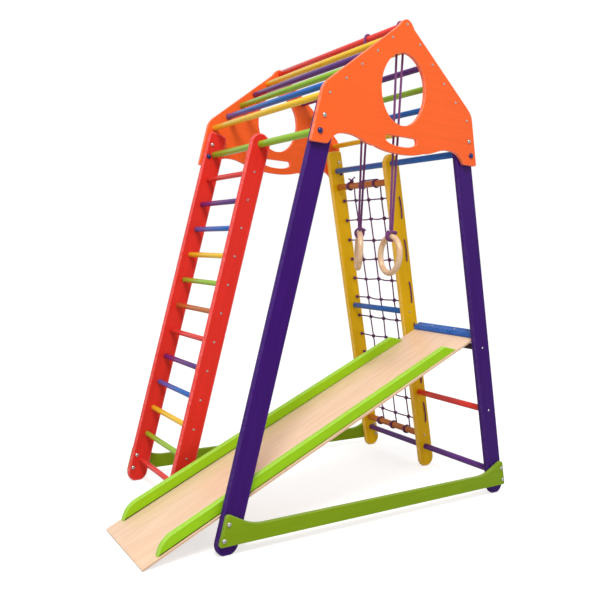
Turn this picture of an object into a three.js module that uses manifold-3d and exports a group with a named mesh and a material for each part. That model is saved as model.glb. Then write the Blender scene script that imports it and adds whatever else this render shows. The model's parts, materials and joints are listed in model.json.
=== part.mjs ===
// A wooden home play frame for toddlers: two house-shaped gables on a leaning four-post frame,
// with a roof of hand bars, a ladder, a rope climbing net, two hanging rings and a lift-off slide.
// Units are millimetres and +Z is up. X runs across the A of the frame and Y runs from the front
// gable to the back one. The origin ends up on the floor, under the middle of the whole object.

import * as THREE from "three";
import { mergeVertices } from "three/addons/utils/BufferGeometryUtils.js";
import Module from "manifold-3d";

const wasm = await Module();
wasm.setup();

// ---- Driving dimensions -------------------------------------------------------------------

const OVERALL_HEIGHT = 1700;
const OVERALL_DEPTH = 814; // outer face of one gable to the outer face of the other
const FOOT_HALF_SPAN = 604; // post centre lines at floor level, from the middle
const POST_LEAN = THREE.MathUtils.degToRad(12.74);

const GABLE_THICKNESS = 15;
const POST_WIDTH = 78;
const POST_THICKNESS = 20;
const BRACE_THICKNESS = 15;
const INNER_RAIL_Y = 401.5; // near face of the ladder's and the net's inner rail

const ROOF_BAR_DIAMETER = 22;
const LONG_BAR_DIAMETER = 25;
const NET_BAR_DIAMETER = 28;
const RUNG_DIAMETER = 20;
const RUNG_COUNT = 12;
const TOP_RUNG_DROP = 501; // down from the top of the gables
const BOTTOM_RUNG_Z = 83.6;

const NET_ROPE_DIAMETER = 6;
const NET_ROW_COUNT = 12;
const NET_TOP_ROW_DROP = 532; // down from the top of the gables
const NET_BOTTOM_ROW_Z = 200;
const NET_COLUMN_COUNT = 3;
const NET_BAR_GAP = 1.1; // between the net's rows and the long bars that they pass

const SLIDE_REACH = 247; // from the posts' feet out to the deck's lower edge on the floor
const SLIDE_BAR_Z = 584; // axis of the bar that the top of the slide hooks over
const DECK_THICKNESS = 8;
const DECK_NEAR_GAP = 1; // from the front post's back face to the deck's edge
const DECK_FAR_GAP = 41.2; // from the deck's other edge to the inner rails
const HOOK_DROP = 36; // from the deck's underside down to that bar's axis
const DECK_PAST_BAR = 25;

const RING_OUTER_DIAMETER = 145;
const RING_WIRE_DIAMETER = 20;
const RING_ROPE_DIAMETER = 8;

const CLEARANCE = 0.3; // between pieces that touch
const NET_HOLE_CLEARANCE = 0.6; // all round a net rope in its rail

// ---- Colours ------------------------------------------------------------------------------

const COLOUR = {
  orange: 0xff6e2e,
  violet: 0x41196a,
  red: 0xdc2823,
  yellow: 0xe1af0a,
  green: 0x8cc43c,
  lime: 0x93c814,
  olive: 0x82a50a,
  blue: 0x0f5fab,
  purple: 0x5a2d82,
  maroon: 0x321020,
  amber: 0xc8732d,
  birch: 0xebc3a0,
  beech: 0xe1b48c,
  netRope: 0x461446,
  ringRope: 0x6e2d6e,
  navyCap: 0x0f236e,
};

const finish = (color, roughness) => new THREE.MeshStandardMaterial({ color, roughness, metalness: 0 });
const painted = (colour) => finish(colour, 0.45);
const bareWood = (colour) => finish(colour, 0.6);
const rope = (colour) => finish(colour, 0.9);
const plasticCap = (colour) => finish(colour, 0.25);

// ---- Solids and meshes --------------------------------------------------------------------

function toSolid(geometry, place = new THREE.Matrix4()) {
  const placed = geometry.clone().applyMatrix4(place);
  placed.deleteAttribute("normal");
  placed.deleteAttribute("uv");
  const merged = mergeVertices(placed, 1e-4);
  const vertProperties = merged.attributes.position.array;
  const triVerts = new Uint32Array(merged.index.array);
  return new wasm.Manifold(new wasm.Mesh({ numProp: 3, vertProperties, triVerts }));
}

function toGeometry(solid) {
  const { vertProperties, triVerts } = solid.getMesh();
  const geometry = new THREE.BufferGeometry();
  geometry.setAttribute("position", new THREE.BufferAttribute(new Float32Array(vertProperties), 3));
  geometry.setIndex(new THREE.BufferAttribute(new Uint32Array(triVerts), 1));
  geometry.computeVertexNormals();
  return geometry;
}

function cut(geometry, cutters) {
  return toGeometry(cutters.reduce((left, cutter) => left.subtract(cutter), toSolid(geometry)));
}

function piece(parent, name, geometry, material, position = [0, 0, 0]) {
  const mesh = new THREE.Mesh(geometry, material);
  mesh.name = name;
  mesh.position.set(...position);
  parent.add(mesh);
  return mesh;
}

const at = (x, y, z) => new THREE.Matrix4().makeTranslation(x, y, z);

// A straight round bar along Y between two depths.
function barAlongY(parent, name, { x, z, from, to, diameter, material }) {
  const geometry = new THREE.CylinderGeometry(diameter / 2, diameter / 2, to - from, 24);
  return piece(parent, name, geometry, material, [x, (from + to) / 2, z]);
}

// A round hole along Y, for cutting.
function holeAlongY(x, z, from, to, diameter, sides = 24) {
  const reach = 5;
  const length = to - from + 2 * reach;
  const drill = new THREE.CylinderGeometry(diameter / 2, diameter / 2, length, sides);
  return toSolid(drill, at(x, (from + to) / 2, z));
}

// A board with its outline in X and Z, standing from one depth to another. Its edges are eased
// by the stated size, or left square at 0.
function board(outline, from, thickness, easing) {
  const geometry = new THREE.ExtrudeGeometry(outline, {
    depth: thickness - 2 * easing,
    bevelEnabled: easing > 0,
    bevelThickness: easing,
    bevelSize: easing,
    bevelOffset: -easing,
    bevelSegments: 2,
    curveSegments: 6,
  });
  geometry.rotateX(Math.PI / 2);
  geometry.translate(0, from + thickness - easing, 0);
  return geometry;
}

// The points of a circle's arc, from one angle to another.
function arc(x, z, radius, start, end, steps) {
  return Array.from({ length: steps + 1 }, (_, i) => {
    const angle = start + ((end - start) * i) / steps;
    return new THREE.Vector2(x + radius * Math.cos(angle), z + radius * Math.sin(angle));
  });
}

// A symmetric outline from its right half, drawn from the bottom middle to the top middle.
function mirrored(half) {
  const rightSide = half.getPoints(7);
  const leftSide = rightSide.filter((point) => point.x > 0.01).reverse();
  return new THREE.Shape([...rightSide, ...leftSide.map((point) => new THREE.Vector2(-point.x, point.y))]);
}

// ---- Where things stand -------------------------------------------------------------------

const leanSin = Math.sin(POST_LEAN);
const leanCos = Math.cos(POST_LEAN);
const postX = (z) => FOOT_HALF_SPAN - z * Math.tan(POST_LEAN);

const FRONT_POST_Y = GABLE_THICKNESS + CLEARANCE;
const FRONT_POST_BACK_Y = FRONT_POST_Y + POST_THICKNESS;
const BACK_GABLE_Y = OVERALL_DEPTH - GABLE_THICKNESS;
const OUTER_RAIL_Y = BACK_GABLE_Y - CLEARANCE - POST_THICKNESS;
const INNER_RAIL_BACK_Y = INNER_RAIL_Y + POST_THICKNESS;
const fromTop = (drop) => OVERALL_HEIGHT - drop;

const frame = new THREE.Group();

// ---- Gables: plywood, round window, smile slot, scalloped lower edge -----------------------

const SHOULDER_Z = fromTop(263);
const SHOULDER = { x: postX(SHOULDER_Z) + 47.9, z: SHOULDER_Z };
const LOWER_CORNER_Z = fromTop(443);
const LOWER_CORNER = { x: postX(LOWER_CORNER_Z) + 46.2, z: LOWER_CORNER_Z };
const APEX_ROUND = 34; // half the width of the rounded ridge
const SHOULDER_ROUND = 22;
const CORNER_ROUND = 9;
const TAB_WIDTH = 64; // the straight foot of the gable at each lower corner
const WINDOW = { halfWidth: 96.8, halfHeight: 118.8, z: fromTop(228.5) };
const SLOT = { halfWidth: 71, top: fromTop(383), middle: fromTop(417), end: fromTop(400), round: 9 };

// The lower edge has a long shallow scallop in the middle and a hollow at each side. The two
// meet at a cusp, and each curve is pulled out towards its ends by the reaches given here.
const CUSP = { x: 122, z: fromTop(427) };
const SCALLOP = { bottom: LOWER_CORNER.z + 1, flat: 40, swell: 40, lift: 4, lip: 8 };
const HOLLOW = { top: fromTop(403), shift: 12, cuspReach: 32, topReach: 42, tabReach: 22, tabRise: 30 };

const POST_BOLT_DIAMETER = 8;
const POST_BOLT_HOLE = POST_BOLT_DIAMETER + 2 * CLEARANCE;
const POST_BOLT_Z = fromTop(408);
const POST_BOLT_OFFSET = 22; // out from the post's centre line
const postBoltX = postX(POST_BOLT_Z) + POST_BOLT_OFFSET;

function gableHalf() {
  const roofSlope = (OVERALL_HEIGHT - SHOULDER.z) / SHOULDER.x;
  const sideSlope = (LOWER_CORNER.x - SHOULDER.x) / (SHOULDER.z - LOWER_CORNER.z);
  const tabInnerX = LOWER_CORNER.x - TAB_WIDTH;
  const hollowX = (tabInnerX + CUSP.x) / 2 + HOLLOW.shift;
  const half = new THREE.Path();
  half.moveTo(0, SCALLOP.bottom);
  half.bezierCurveTo(
    SCALLOP.flat,
    SCALLOP.bottom,
    CUSP.x - SCALLOP.swell,
    SCALLOP.bottom + SCALLOP.lift,
    CUSP.x - SCALLOP.lip,
    CUSP.z + 1,
  );
  half.lineTo(CUSP.x, CUSP.z);
  half.bezierCurveTo(
    CUSP.x + HOLLOW.cuspReach,
    CUSP.z + 5,
    hollowX - HOLLOW.topReach,
    HOLLOW.top,
    hollowX,
    HOLLOW.top,
  );
  half.bezierCurveTo(
    hollowX + HOLLOW.topReach,
    HOLLOW.top,
    tabInnerX - HOLLOW.tabReach,
    LOWER_CORNER.z + HOLLOW.tabRise,
    tabInnerX,
    LOWER_CORNER.z,
  );
  half.lineTo(LOWER_CORNER.x - CORNER_ROUND, LOWER_CORNER.z);
  half.quadraticCurveTo(
    LOWER_CORNER.x,
    LOWER_CORNER.z,
    LOWER_CORNER.x - CORNER_ROUND * sideSlope,
    LOWER_CORNER.z + CORNER_ROUND,
  );
  half.lineTo(SHOULDER.x + SHOULDER_ROUND * sideSlope, SHOULDER.z - SHOULDER_ROUND);
  half.quadraticCurveTo(
    SHOULDER.x,
    SHOULDER.z,
    SHOULDER.x - SHOULDER_ROUND,
    SHOULDER.z + SHOULDER_ROUND * roofSlope,
  );
  half.lineTo(APEX_ROUND, OVERALL_HEIGHT - APEX_ROUND * roofSlope);
  half.quadraticCurveTo(APEX_ROUND / 2, OVERALL_HEIGHT, 0, OVERALL_HEIGHT);
  return half;
}

function gableOutline() {
  const outline = mirrored(gableHalf());
  const window = new THREE.Path();
  window.absellipse(0, WINDOW.z, WINDOW.halfWidth, WINDOW.halfHeight, 0, 2 * Math.PI);
  const slot = new THREE.Path();
  slot.moveTo(-SLOT.halfWidth + SLOT.round, SLOT.top);
  slot.lineTo(SLOT.halfWidth - SLOT.round, SLOT.top);
  slot.quadraticCurveTo(SLOT.halfWidth, SLOT.top, SLOT.halfWidth, SLOT.end);
  slot.quadraticCurveTo(SLOT.halfWidth * 0.75, SLOT.middle, 0, SLOT.middle);
  slot.quadraticCurveTo(-SLOT.halfWidth * 0.75, SLOT.middle, -SLOT.halfWidth, SLOT.end);
  slot.quadraticCurveTo(-SLOT.halfWidth, SLOT.top, -SLOT.halfWidth + SLOT.round, SLOT.top);
  outline.holes.push(new THREE.Path(window.getPoints(32)), slot);
  return outline;
}

function gable(name, from) {
  const holes = [-1, 1].map((side) =>
    holeAlongY(side * postBoltX, POST_BOLT_Z, from, from + GABLE_THICKNESS, POST_BOLT_HOLE),
  );
  const geometry = cut(board(gableOutline(), from, GABLE_THICKNESS, 0), holes);
  piece(frame, name, geometry, painted(COLOUR.orange));
}

gable("gable_front", 0);
gable("gable_back", BACK_GABLE_Y);

// ---- Roof: the ridge bar and five bars down each slope -------------------------------------

const ROOF_BARS_PER_SLOPE = ["yellow", "purple", "green", "blue", "yellow"];
const RIDGE_Z = fromTop(16);
const LAST_ROOF_BAR = { x: SHOULDER.x - 24.5, z: fromTop(288) };
const ROOF_BAR_STEP = {
  x: LAST_ROOF_BAR.x / ROOF_BARS_PER_SLOPE.length,
  z: (RIDGE_Z - LAST_ROOF_BAR.z) / ROOF_BARS_PER_SLOPE.length,
};
const roofSpan = {
  from: GABLE_THICKNESS + CLEARANCE,
  to: BACK_GABLE_Y - CLEARANCE,
  diameter: ROOF_BAR_DIAMETER,
};

barAlongY(frame, "ridge_bar", { x: 0, z: RIDGE_Z, ...roofSpan, material: painted(COLOUR.red) });
for (const [slope, side] of [["left", -1], ["right", 1]]) {
  ROOF_BARS_PER_SLOPE.forEach((colour, i) => {
    const steps = i + 1;
    barAlongY(frame, `roof_bar_${slope}_${steps}`, {
      x: side * steps * ROOF_BAR_STEP.x,
      z: RIDGE_Z - steps * ROOF_BAR_STEP.z,
      ...roofSpan,
      material: painted(COLOUR[colour]),
    });
  });
}

// ---- Posts and rails: leaning boards with rounded ends -------------------------------------

const POST_TOP_Z = fromTop(312);
const POST_TOP_ROUND = 16;
const POST_EASING = 5;
const FOOT_FLAT = 2.5; // how much of each rounded foot is cut off level with the floor
const FOOT_ARC_Z = POST_WIDTH / 2 - FOOT_FLAT;

// side is +1 for a post on the right and -1 for one on the left.
function postOutline(side, domeZ) {
  const half = POST_WIDTH / 2;
  const footEdge = Math.acos(FOOT_ARC_Z / half);
  const down = -Math.PI / 2;
  const points = [
    ...arc(postX(FOOT_ARC_Z), FOOT_ARC_Z, half, POST_LEAN, down + footEdge, 6),
    ...arc(postX(FOOT_ARC_Z), FOOT_ARC_Z, half, down - footEdge, POST_LEAN - Math.PI, 6),
  ];
  if (domeZ) points.push(...arc(postX(domeZ), domeZ, half, POST_LEAN + Math.PI, POST_LEAN, 12));
  else {
    const inset = half - POST_TOP_ROUND;
    const z = POST_TOP_Z - POST_TOP_ROUND;
    const left = [postX(z) - inset * leanCos, z - inset * leanSin];
    const right = [postX(z) + inset * leanCos, z + inset * leanSin];
    points.push(...arc(...left, POST_TOP_ROUND, POST_LEAN + Math.PI, POST_LEAN + Math.PI / 2, 4));
    points.push(...arc(...right, POST_TOP_ROUND, POST_LEAN + Math.PI / 2, POST_LEAN, 4));
  }
  return new THREE.Shape(points.map((point) => new THREE.Vector2(side * point.x, point.y)));
}

function post(name, { side, from, colour, domeZ = 0, holes = [] }) {
  const cutters = holes.map(({ x, z, diameter, sides }) =>
    holeAlongY(side * x, z, from, from + POST_THICKNESS, diameter, sides),
  );
  const body = board(postOutline(side, domeZ), from, POST_THICKNESS, POST_EASING);
  piece(frame, name, cut(body, cutters), painted(colour));
}

const TOP_BAR_Z = fromTop(400);
const BOTTOM_BAR_Z = 90;
const NET_OFFSET = (LONG_BAR_DIAMETER / 2 + NET_ROPE_DIAMETER / 2 + NET_BAR_GAP) / leanCos;

// Heights spread evenly from the top one down to the bottom one.
function spread(topZ, bottomZ, count) {
  return Array.from({ length: count }, (_, i) => topZ + ((bottomZ - topZ) * i) / (count - 1));
}
const RUNG_Z = spread(fromTop(TOP_RUNG_DROP), BOTTOM_RUNG_Z, RUNG_COUNT);
const NET_ROW_Z = spread(fromTop(NET_TOP_ROW_DROP), NET_BOTTOM_ROW_Z, NET_ROW_COUNT);

const postBolt = { x: postBoltX, z: POST_BOLT_Z, diameter: POST_BOLT_HOLE };
const barHole = (z) => ({ x: postX(z), z, diameter: LONG_BAR_DIAMETER + 2 * CLEARANCE });
const netHoles = NET_ROW_Z.map((z) => ({
  x: postX(z) + NET_OFFSET,
  z,
  diameter: NET_ROPE_DIAMETER + 2 * NET_HOLE_CLEARANCE,
  sides: 10,
}));

post("front_left_post", { side: -1, from: FRONT_POST_Y, colour: COLOUR.violet, holes: [postBolt] });
post("front_right_post", { side: 1, from: FRONT_POST_Y, colour: COLOUR.violet, holes: [postBolt] });
post("ladder_outer_rail", { side: -1, from: OUTER_RAIL_Y, colour: COLOUR.red, holes: [postBolt] });
post("ladder_inner_rail", {
  side: -1,
  from: INNER_RAIL_Y,
  colour: COLOUR.red,
  domeZ: TOP_BAR_Z,
  holes: [barHole(TOP_BAR_Z)],
});
post("net_outer_rail", {
  side: 1,
  from: OUTER_RAIL_Y,
  colour: COLOUR.yellow,
  holes: [postBolt, ...netHoles],
});
post("net_inner_rail", {
  side: 1,
  from: INNER_RAIL_Y,
  colour: COLOUR.yellow,
  domeZ: TOP_BAR_Z,
  holes: [barHole(TOP_BAR_Z), barHole(BOTTOM_BAR_Z), ...netHoles],
});

// ---- Post bolts: one bolt with a domed cap at both ends, at the top of each post ------------

const CAP_RADIUS = 9.5;
const CAP_HEIGHT = 8;

function postBoltGeometry(grip) {
  const shank = POST_BOLT_DIAMETER / 2;
  const capFace = grip / 2 + CLEARANCE;
  const capPoints = (sign) =>
    Array.from({ length: 5 }, (_, i) => {
      const angle = (i / 4) * (Math.PI / 2);
      return new THREE.Vector2(CAP_RADIUS * Math.cos(angle), sign * (capFace + CAP_HEIGHT * Math.sin(angle)));
    });
  const profile = [
    ...capPoints(-1).reverse(),
    new THREE.Vector2(shank, -capFace),
    new THREE.Vector2(shank, capFace),
    ...capPoints(1),
  ];
  profile[0].x = 0;
  profile[profile.length - 1].x = 0;
  return new THREE.LatheGeometry(profile, 12);
}

const boltGrip = GABLE_THICKNESS + CLEARANCE + POST_THICKNESS;
for (const [end, y] of [["front", boltGrip / 2], ["back", OVERALL_DEPTH - boltGrip / 2]]) {
  for (const [hand, side] of [["left", -1], ["right", 1]]) {
    const place = [side * postBoltX, y, POST_BOLT_Z];
    piece(frame, `post_bolt_${end}_${hand}`, postBoltGeometry(boltGrip), plasticCap(COLOUR.navyCap), place);
  }
}

// ---- Foot braces: shaped boards across the feet, front and back ----------------------------

const BRACE = { bottom: 35, top: 86, endInset: 6, round: 8 };
const BRACE_END = { top: 131, slopeTop: { in: 14, down: 3 }, slopeFoot: { in: 60, down: 27 }, flatFrom: 134 };
const BRACE_SLOPE_REACH = 32; // how far the foot of each slope runs out into the level top edge

function braceOutline() {
  const edgeX = (z) => postX(z) + POST_WIDTH / 2 / leanCos - BRACE.endInset;
  const slant = BRACE.round * Math.tan(POST_LEAN);
  const endX = edgeX(BRACE_END.top);
  const { slopeTop, slopeFoot } = BRACE_END;
  const half = new THREE.Path();
  half.moveTo(0, BRACE.bottom);
  half.lineTo(edgeX(BRACE.bottom) - BRACE.round, BRACE.bottom);
  half.quadraticCurveTo(
    edgeX(BRACE.bottom),
    BRACE.bottom,
    edgeX(BRACE.bottom) - slant,
    BRACE.bottom + BRACE.round,
  );
  half.lineTo(endX + slant, BRACE_END.top - BRACE.round);
  half.quadraticCurveTo(endX, BRACE_END.top, endX - slopeTop.in, BRACE_END.top - slopeTop.down);
  half.lineTo(endX - slopeFoot.in, BRACE_END.top - slopeFoot.down);
  half.quadraticCurveTo(
    endX - slopeFoot.in - BRACE_SLOPE_REACH,
    BRACE.top,
    endX - BRACE_END.flatFrom,
    BRACE.top,
  );
  half.lineTo(0, BRACE.top);
  return mirrored(half);
}

const FRONT_BRACE_Y = FRONT_POST_Y - CLEARANCE - BRACE_THICKNESS;
const BACK_BRACE_Y = OUTER_RAIL_Y + POST_THICKNESS + CLEARANCE;
for (const [name, from] of [["front_foot_brace", FRONT_BRACE_Y], ["back_foot_brace", BACK_BRACE_Y]]) {
  piece(frame, name, board(braceOutline(), from, BRACE_THICKNESS, 0), painted(COLOUR.olive));
}

// ---- Ladder rungs, from the top down -------------------------------------------------------

const RUNG_COLOURS = ["red", "purple", "blue", "yellow", "green", "amber"];
const betweenRails = { from: INNER_RAIL_BACK_Y + CLEARANCE, to: OUTER_RAIL_Y - CLEARANCE };

RUNG_Z.forEach((z, i) => {
  const last = i === RUNG_COUNT - 1;
  barAlongY(frame, `ladder_rung_${String(i + 1).padStart(2, "0")}`, {
    x: -postX(z),
    z,
    ...betweenRails,
    diameter: RUNG_DIAMETER,
    material: painted(COLOUR[last ? "red" : RUNG_COLOURS[i % RUNG_COLOURS.length]]),
  });
});

// ---- Long bars that tie the back frame to the front posts ----------------------------------

const SLIDE_TIE_Z = 338;
const NET_TOP_BAR_Z = fromTop(472);
const NET_MIDDLE_BAR_Z = 688;
const NET_LOWER_BAR_Z = 142;
const wholeDepth = { from: FRONT_POST_BACK_Y + CLEARANCE, to: OUTER_RAIL_Y - CLEARANCE };
const slideBay = { from: FRONT_POST_BACK_Y + CLEARANCE, to: INNER_RAIL_Y - CLEARANCE };

function tieBar(name, side, z, span, diameter, colour, offset = 0) {
  const x = side * (postX(z) + offset);
  barAlongY(frame, name, { x, z, ...span, diameter, material: painted(colour) });
}

// The ropes down the net run past the outer sides of all the bars, and the net's own bars
// stand out as far as it takes to meet them.
const thickestBar = Math.max(NET_BAR_DIAMETER, LONG_BAR_DIAMETER);
const netBarOffset = (thickestBar - NET_BAR_DIAMETER) / 2 / leanCos;
const netColumnOffset = (thickestBar / 2 + CLEARANCE + NET_ROPE_DIAMETER / 2) / leanCos;

tieBar("ladder_top_bar", -1, TOP_BAR_Z, wholeDepth, LONG_BAR_DIAMETER, COLOUR.green);
tieBar("net_side_top_bar", 1, TOP_BAR_Z, wholeDepth, LONG_BAR_DIAMETER, COLOUR.blue);
tieBar("net_side_bottom_bar", 1, BOTTOM_BAR_Z, wholeDepth, LONG_BAR_DIAMETER, COLOUR.purple);
tieBar("net_upper_bar", 1, NET_TOP_BAR_Z, betweenRails, NET_BAR_DIAMETER, COLOUR.amber, netBarOffset);
tieBar("net_middle_bar", 1, NET_MIDDLE_BAR_Z, betweenRails, LONG_BAR_DIAMETER, COLOUR.blue);
tieBar("net_lower_bar", 1, NET_LOWER_BAR_Z, betweenRails, NET_BAR_DIAMETER, COLOUR.amber, netBarOffset);
tieBar("slide_bay_tie_bar", 1, SLIDE_TIE_Z, slideBay, LONG_BAR_DIAMETER, COLOUR.red);
tieBar("slide_hook_bar", 1, SLIDE_BAR_Z, slideBay, LONG_BAR_DIAMETER, COLOUR.maroon);

// ---- Slide: plywood deck, two side rails, a hook batten above and a saddle batten below -----
// In the slide's own group, X runs up the slope from the foot and Z stands square off the deck.

const SLIDE_FOOT_X = -FOOT_HALF_SPAN - SLIDE_REACH;
const hookBar = { x: postX(SLIDE_BAR_Z) - SLIDE_FOOT_X, z: SLIDE_BAR_Z };
const hookDistance = Math.hypot(hookBar.x, hookBar.z);
const slideAngle = Math.atan2(hookBar.z, hookBar.x) + Math.asin(HOOK_DROP / hookDistance);
const hookAlong = Math.sqrt(hookDistance ** 2 - HOOK_DROP ** 2);
const deckLength = hookAlong + DECK_PAST_BAR;
const deckNearY = FRONT_POST_BACK_Y + DECK_NEAR_GAP;
const DECK_WIDTH = INNER_RAIL_Y - DECK_FAR_GAP - deckNearY;

// The lower bar lies just under the deck, on the posts' centre line.
const restRadius = LONG_BAR_DIAMETER / 2;
const restSin = Math.sin(slideAngle);
const restRise = Math.cos(slideAngle) - Math.tan(POST_LEAN) * restSin;
const REST_BAR_Z = (SLIDE_REACH * restSin - restRadius - CLEARANCE) / restRise;
tieBar("slide_rest_bar", -1, REST_BAR_Z, slideBay, LONG_BAR_DIAMETER, COLOUR.maroon);

const slide = new THREE.Group();
slide.position.set(SLIDE_FOOT_X, 0, 0);
slide.rotation.y = -slideAngle;
frame.add(slide);

const deck = new THREE.BoxGeometry(deckLength, DECK_WIDTH, DECK_THICKNESS);
const deckMiddleY = deckNearY + DECK_WIDTH / 2;
piece(slide, "slide_deck", deck, bareWood(COLOUR.birch), [deckLength / 2, deckMiddleY, DECK_THICKNESS / 2]);

const SIDE_RAIL = { thickness: 20, height: 38, inset: 4, easing: 3, start: 53, endShort: 130 };
const SIDE_RAIL_START_ROUND = { in: 20, down: 6, reach: 58 };
const SIDE_RAIL_END_ROUND = { slope: 46, down: 3, in: 4, reach: 14 };
const onDeck = DECK_THICKNESS + CLEARANCE;

function sideRailOutline() {
  const { start, height, endShort } = SIDE_RAIL;
  const top = onDeck + height;
  const end = deckLength - endShort;
  const endTop = end - SIDE_RAIL_END_ROUND.slope;
  const outline = new THREE.Shape();
  outline.moveTo(start, onDeck);
  outline.lineTo(end, onDeck);
  outline.lineTo(endTop, top - SIDE_RAIL_END_ROUND.down);
  outline.quadraticCurveTo(endTop - SIDE_RAIL_END_ROUND.in, top, endTop - SIDE_RAIL_END_ROUND.reach, top);
  outline.lineTo(start + SIDE_RAIL_START_ROUND.reach, top);
  outline.quadraticCurveTo(start + SIDE_RAIL_START_ROUND.in, top - SIDE_RAIL_START_ROUND.down, start, onDeck);
  return outline;
}

const sideRailY = {
  near: deckNearY + SIDE_RAIL.inset,
  far: deckNearY + DECK_WIDTH - SIDE_RAIL.inset - SIDE_RAIL.thickness,
};
for (const [hand, y] of Object.entries(sideRailY)) {
  const sideRail = board(sideRailOutline(), y, SIDE_RAIL.thickness, SIDE_RAIL.easing);
  piece(slide, `slide_rail_${hand}`, sideRail, painted(COLOUR.lime));
}

const HOOK_BATTEN = { width: 38, height: 16, bevel: 9 };

function hookBattenGeometry() {
  const { width, height, bevel } = HOOK_BATTEN;
  const start = deckLength - width;
  const outline = new THREE.Shape();
  outline.moveTo(start, onDeck);
  outline.lineTo(deckLength, onDeck);
  outline.lineTo(deckLength, onDeck + height);
  outline.lineTo(start + bevel, onDeck + height);
  outline.lineTo(start, onDeck + height - bevel);
  return board(outline, deckNearY, DECK_WIDTH, 0);
}
piece(slide, "slide_hook_batten", hookBattenGeometry(), painted(COLOUR.blue));

const SADDLE_BEFORE_BAR = 27; // the batten's reach down the slope from the bar's axis
const SADDLE_WIDTH = DECK_PAST_BAR + SADDLE_BEFORE_BAR;
const SADDLE_END_GAP = 80; // the saddle stops short of the deck's edges, which hide it

function saddleGeometry() {
  const length = DECK_WIDTH - 2 * SADDLE_END_GAP;
  const height = HOOK_DROP - CLEARANCE;
  const box = new THREE.BoxGeometry(SADDLE_WIDTH, length, height);
  box.translate(deckLength - SADDLE_WIDTH / 2, deckMiddleY, -CLEARANCE - height / 2);
  const groove = holeAlongY(
    hookAlong,
    -HOOK_DROP,
    deckMiddleY - length / 2,
    deckMiddleY + length / 2,
    LONG_BAR_DIAMETER + 2 * CLEARANCE,
  );
  return cut(box, [groove]);
}
piece(slide, "slide_saddle_batten", saddleGeometry(), bareWood(COLOUR.birch));

// ---- Climbing net: one rope laced to and fro through the rails, three ropes down it ---------

const netRopeRadius = NET_ROPE_DIAMETER / 2;
const laceNearY = INNER_RAIL_Y - CLEARANCE - netRopeRadius;
const laceFarY = OUTER_RAIL_Y + POST_THICKNESS + CLEARANCE + netRopeRadius;
const onNet = (y, z, offset = NET_OFFSET) => new THREE.Vector3(postX(z) + offset, y, z);

function straightRope(start, end) {
  const way = end.clone().sub(start);
  const geometry = new THREE.CylinderGeometry(netRopeRadius, netRopeRadius, way.length(), 6);
  const turn = new THREE.Quaternion().setFromUnitVectors(new THREE.Vector3(0, 1, 0), way.clone().normalize());
  const middle = start.clone().add(end).multiplyScalar(0.5);
  return toSolid(geometry, new THREE.Matrix4().compose(middle, turn, new THREE.Vector3(1, 1, 1)));
}

function climbingNet() {
  const ropes = [];
  NET_ROW_Z.forEach((z, row) => {
    ropes.push(straightRope(onNet(laceNearY, z), onNet(laceFarY, z)));
    if (row === NET_ROW_COUNT - 1) return;
    const laceY = row % 2 === 0 ? laceNearY : laceFarY;
    ropes.push(
      straightRope(onNet(laceY, z + netRopeRadius), onNet(laceY, NET_ROW_Z[row + 1] - netRopeRadius)),
    );
  });
  const bay = betweenRails.to - betweenRails.from;
  for (let column = 1; column <= NET_COLUMN_COUNT; column++) {
    const y = betweenRails.from + (bay * column) / (NET_COLUMN_COUNT + 1);
    const foot = onNet(y, NET_LOWER_BAR_Z, netColumnOffset);
    ropes.push(straightRope(foot, onNet(y, NET_TOP_BAR_Z, netColumnOffset)));
  }
  return toGeometry(ropes.reduce((net, next) => net.add(next)));
}
piece(frame, "climbing_net", climbingNet(), rope(COLOUR.netRope));

// ---- Rings: a doubled rope over the ridge bar, a hitch and a wooden ring --------------------
// Each ring hangs from its hitch and is turned a little on its rope.

const RINGS = [
  { number: 1, y: 204, wireTopZ: fromTop(704), turn: THREE.MathUtils.degToRad(57) },
  { number: 2, y: 32, wireTopZ: fromTop(716), turn: THREE.MathUtils.degToRad(80) },
];
const HITCH = { radius: 19, below: 20, above: 24, topRadius: 11 };
const STRAND_SPREAD = 4.5; // each strand's centre from the middle, where it leaves the hitch

// Up one strand, over the ridge bar and down the other.
class DoubledRope extends THREE.Curve {
  constructor(bottomZ) {
    super();
    this.bottomZ = bottomZ;
    this.bend = ROOF_BAR_DIAMETER / 2 + CLEARANCE + RING_ROPE_DIAMETER / 2;
  }
  getUtoTmapping(u) {
    return u;
  }
  getPoint(t, target = new THREE.Vector3()) {
    const straight = 0.15; // the share of the steps that each straight strand takes
    const side = t < 0.5 ? -1 : 1;
    const fromEnd = Math.min(t, 1 - t);
    if (fromEnd < straight) {
      const share = fromEnd / straight;
      const x = STRAND_SPREAD + (this.bend - STRAND_SPREAD) * share;
      return target.set(side * x, 0, this.bottomZ + (RIDGE_Z - this.bottomZ) * share);
    }
    const angle = (Math.PI / 2) * ((fromEnd - straight) / (0.5 - straight));
    return target.set(side * this.bend * Math.cos(angle), 0, RIDGE_Z + this.bend * Math.sin(angle));
  }
}

function ringRopeGeometry(bottomZ) {
  const section = new THREE.Shape(arc(0, 0, RING_ROPE_DIAMETER / 2, 0, 2 * Math.PI * (7 / 8), 7));
  return new THREE.ExtrudeGeometry(section, { steps: 20, extrudePath: new DoubledRope(bottomZ) });
}

function ringGeometry(extra) {
  const wire = RING_WIRE_DIAMETER / 2;
  const circle = RING_OUTER_DIAMETER / 2 - wire;
  const geometry = new THREE.TorusGeometry(circle, wire + extra, 10, 32);
  geometry.rotateX(Math.PI / 2);
  geometry.translate(0, 0, -circle);
  return geometry;
}

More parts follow.
